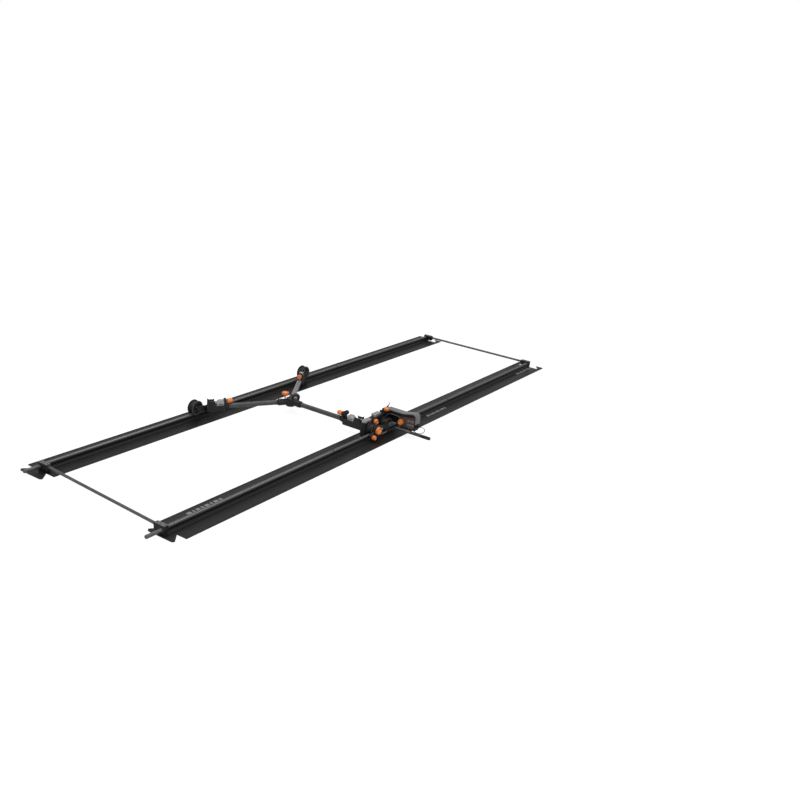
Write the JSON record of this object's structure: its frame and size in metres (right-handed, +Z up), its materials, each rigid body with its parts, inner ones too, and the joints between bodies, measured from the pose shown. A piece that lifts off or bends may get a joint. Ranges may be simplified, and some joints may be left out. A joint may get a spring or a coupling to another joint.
{
  "type": "motorised tripod dolly on floor track",
  "caption": "Motorised three-wheel tripod dolly on a pair of dovetailed floor rails, with foot cradles, clamp knobs and a control box.",
  "frame": {"origin": "middle of the near rail's underside, on the floor", "axes": "+X along the rails to the right, +Y across from the near rail to the far rail, +Z up"},
  "size_m": [3.738, 1.2905, 0.1647],
  "materials": {
    "rail_black": "black anodised, semi-gloss",
    "cast_black": "black powder coat, satin",
    "tube_grey": "dark grey anodised",
    "wheel_black": "matte black",
    "orange_anodised": "orange anodised",
    "silver": "satin",
    "hood_grey": "grey satin",
    "panel_brown": "dark brown, satin",
    "key_grey": "matte",
    "strap_white": "off-white",
    "lead_grey": "matte"
  },
  "bodies": {
    "track": {"near_rail_1": "rail_black", "near_rail_2": "rail_black", "near_rail_3": "rail_black", "far_rail_1": "rail_black", "far_rail_2": "rail_black", "far_rail_3": "rail_black", "near_saddle_left": "cast_black", "near_saddle_right": "cast_black", "far_saddle_left": "cast_black", "far_saddle_right": "cast_black", "near_joining_pin": "cast_black", "far_joining_pin": "cast_black", "spreader_rod_left": "cast_black", "spreader_rod_right": "cast_black"},
    "dolly": {"hub_body": "cast_black", "hub_cap": "silver", "arm_tube_a": "tube_grey", "arm_tube_b": "tube_grey", "arm_tube_c": "tube_grey", "cradle_a": "cast_black", "cradle_b": "cast_black", "cradle_c": "cast_black", "drive_housing": "cast_black", "motor_cover": "silver", "gear_cover": "silver", "yoke_plate": "cast_black", "control_box": "cast_black", "hood": "hood_grey", "control_panel": "panel_brown", "lead_connector": "cast_black", "control_lead": "lead_grey"},
    "wheel_a": {"wheel_a": "wheel_black"},
    "wheel_b": {"wheel_b": "wheel_black"},
    "wheel_c": {"wheel_c": "wheel_black"},
    "wheel_d": {"wheel_d": "wheel_black"},
    "foot_cup_a": {"foot_cup_a": "silver"},
    "foot_strap_a": {"foot_strap_a": "strap_white"},
    "cradle_knob_a": {"cradle_knob_a": "orange_anodised"},
    "foot_cup_b": {"foot_cup_b": "silver"},
    "foot_strap_b": {"foot_strap_b": "strap_white"},
    "cradle_knob_b": {"cradle_knob_b": "orange_anodised"},
    "foot_cup_c": {"foot_cup_c": "silver", "ball_handle_c": "cast_black"},
    "foot_strap_c": {"foot_strap_c": "strap_white"},
    "cradle_knob_c": {"cradle_knob_c": "orange_anodised"},
    "hub_knob": {"hub_knob": "orange_anodised"},
    "axle_knob": {"axle_knob": "orange_anodised"},
    "brake_knob": {"brake_knob": "orange_anodised"},
    "clutch_knob": {"clutch_knob": "orange_anodised"},
    "box_clamp_knob": {"box_clamp_knob": "orange_anodised"},
    "speed_dial": {"speed_dial": "orange_anodised"},
    "key_1": {"key_1": "key_grey"},
    "key_2": {"key_2": "key_grey"},
    "key_3": {"key_3": "key_grey"},
    "key_4": {"key_4": "key_grey"},
    "key_5": {"key_5": "key_grey"},
    "key_6": {"key_6": "key_grey"},
    "antenna": {"antenna": "cast_black"},
    "engage_lever": {"engage_lever": "cast_black"}
  },
  "joints": [
    {"name": "dolly_travel", "type": "slide", "parent": "track", "child": "dolly", "axis": [1, 0, 0], "range_m": [-0.95, 1.47]},
    {"name": "wheel_a_roll", "type": "hinge", "parent": "dolly", "child": "wheel_a", "pos_m": [-0.78, 0.9, 0.0715], "axis": [0, 1, 0], "continuous": true},
    {"name": "wheel_b_roll", "type": "hinge", "parent": "dolly", "child": "wheel_b", "pos_m": [0.19, 0.9, 0.0715], "axis": [0, 1, 0], "continuous": true},
    {"name": "wheel_c_roll", "type": "hinge", "parent": "dolly", "child": "wheel_c", "pos_m": [-0.283, 0, 0.0625], "axis": [0, 1, 0], "continuous": true},
    {"name": "wheel_d_roll", "type": "hinge", "parent": "dolly", "child": "wheel_d", "pos_m": [-0.146, 0, 0.0625], "axis": [0, 1, 0], "continuous": true},
    {"name": "foot_cup_a_slide", "type": "slide", "parent": "dolly", "child": "foot_cup_a", "axis": [-0.8529, 0.5222, 0], "range_m": [0, 0.009]},
    {"name": "foot_strap_a_lift", "type": "hinge", "parent": "dolly", "child": "foot_strap_a", "pos_m": [-0.70734, 0.84144, 0.0965], "axis": [-0.8529, 0.5222, 0], "range_deg": [-85, 0]},
    {"name": "cradle_knob_a_turn", "type": "hinge", "parent": "dolly", "child": "cradle_knob_a", "pos_m": [-0.62773, 0.80677, 0.1005], "axis": [0.8529, -0.5222, 0], "range_deg": [0, 360]},
    {"name": "foot_cup_b_slide", "type": "slide", "parent": "dolly", "child": "foot_cup_b", "axis": [0.848, 0.53, 0], "range_m": [0, 0.009]},
    {"name": "foot_strap_b_lift", "type": "hinge", "parent": "dolly", "child": "foot_strap_b", "pos_m": [0.11238, 0.86564, 0.0965], "axis": [0.848, 0.53, 0], "range_deg": [-85, 0]},
    {"name": "cradle_knob_b_turn", "type": "hinge", "parent": "dolly", "child": "cradle_knob_b", "pos_m": [0.04581, 0.80988, 0.1005], "axis": [-0.848, -0.53, 0], "range_deg": [0, 360]},
    {"name": "foot_cup_c_slide", "type": "slide", "parent": "dolly", "child": "foot_cup_c", "axis": [0, -1, 0], "range_m": [0, 0.009]},
    {"name": "foot_strap_c_lift", "type": "hinge", "parent": "dolly", "child": "foot_strap_c", "pos_m": [-0.278, 0.09, 0.0965], "axis": [0, -1, 0], "range_deg": [-85, 0]},
    {"name": "cradle_knob_c_turn", "type": "hinge", "parent": "dolly", "child": "cradle_knob_c", "pos_m": [-0.29, 0.204, 0.1005], "axis": [0, 1, 0], "range_deg": [0, 360]},
    {"name": "hub_knob_turn", "type": "hinge", "parent": "dolly", "child": "hub_knob", "pos_m": [-0.3207, 0.6188, 0.1102], "axis": [0, 0, 1], "range_deg": [0, 360]},
    {"name": "axle_knob_turn", "type": "hinge", "parent": "dolly", "child": "axle_knob", "pos_m": [-0.283, -0.0353, 0.0625], "axis": [0, -1, 0], "range_deg": [0, 360]},
    {"name": "brake_knob_turn", "type": "hinge", "parent": "dolly", "child": "brake_knob", "pos_m": [-0.323, -0.0353, 0.031], "axis": [0, -1, 0], "range_deg": [0, 360]},
    {"name": "clutch_knob_turn", "type": "hinge", "parent": "dolly", "child": "clutch_knob", "pos_m": [-0.236, 0.0187, 0.091], "axis": [0, -1, 0], "range_deg": [0, 360]},
    {"name": "box_clamp_knob_turn", "type": "hinge", "parent": "dolly", "child": "box_clamp_knob", "pos_m": [-0.13, 0.0125, 0.1343], "axis": [0, 0, 1], "range_deg": [0, 360]},
    {"name": "speed_dial_turn", "type": "hinge", "parent": "dolly", "child": "speed_dial", "pos_m": [-0.1153, -0.0875, 0.086], "axis": [-1, 0, 0], "range_deg": [0, 300]},
    {"name": "key_1_press", "type": "slide", "parent": "dolly", "child": "key_1", "axis": [1, 0, 0], "range_m": [0, 0.0013], "stiffness_N_per_m": 400, "springref_m": -0.0004},
    {"name": "key_2_press", "type": "slide", "parent": "dolly", "child": "key_2", "axis": [1, 0, 0], "range_m": [0, 0.0013], "stiffness_N_per_m": 400, "springref_m": -0.0004},
    {"name": "key_3_press", "type": "slide", "parent": "dolly", "child": "key_3", "axis": [1, 0, 0], "range_m": [0, 0.0013], "stiffness_N_per_m": 400, "springref_m": -0.0004},
    {"name": "key_4_press", "type": "slide", "parent": "dolly", "child": "key_4", "axis": [1, 0, 0], "range_m": [0, 0.0013], "stiffness_N_per_m": 400, "springref_m": -0.0004},
    {"name": "key_5_press", "type": "slide", "parent": "dolly", "child": "key_5", "axis": [1, 0, 0], "range_m": [0, 0.0013], "stiffness_N_per_m": 400, "springref_m": -0.0004},
    {"name": "key_6_press", "type": "slide", "parent": "dolly", "child": "key_6", "axis": [1, 0, 0], "range_m": [0, 0.0013], "stiffness_N_per_m": 400, "springref_m": -0.0004},
    {"name": "antenna_tilt", "type": "hinge", "parent": "dolly", "child": "antenna", "pos_m": [-0.078, 0.0415, 0.1345], "axis": [1, 0, 0], "range_deg": [-85, 0]},
    {"name": "engage_lever_swing", "type": "hinge", "parent": "dolly", "child": "engage_lever", "pos_m": [-0.1165, -0.08, 0.044], "axis": [0, 0, 1], "range_deg": [-60, 0]}
  ],
  "couplings": [
    {"joint": "wheel_a_roll", "follows": "dolly_travel", "rad_per_m": 32.258},
    {"joint": "wheel_b_roll", "follows": "dolly_travel", "rad_per_m": 32.258},
    {"joint": "wheel_c_roll", "follows": "dolly_travel", "rad_per_m": 45.455},
    {"joint": "wheel_d_roll", "follows": "dolly_travel", "rad_per_m": 45.455}
  ]
}
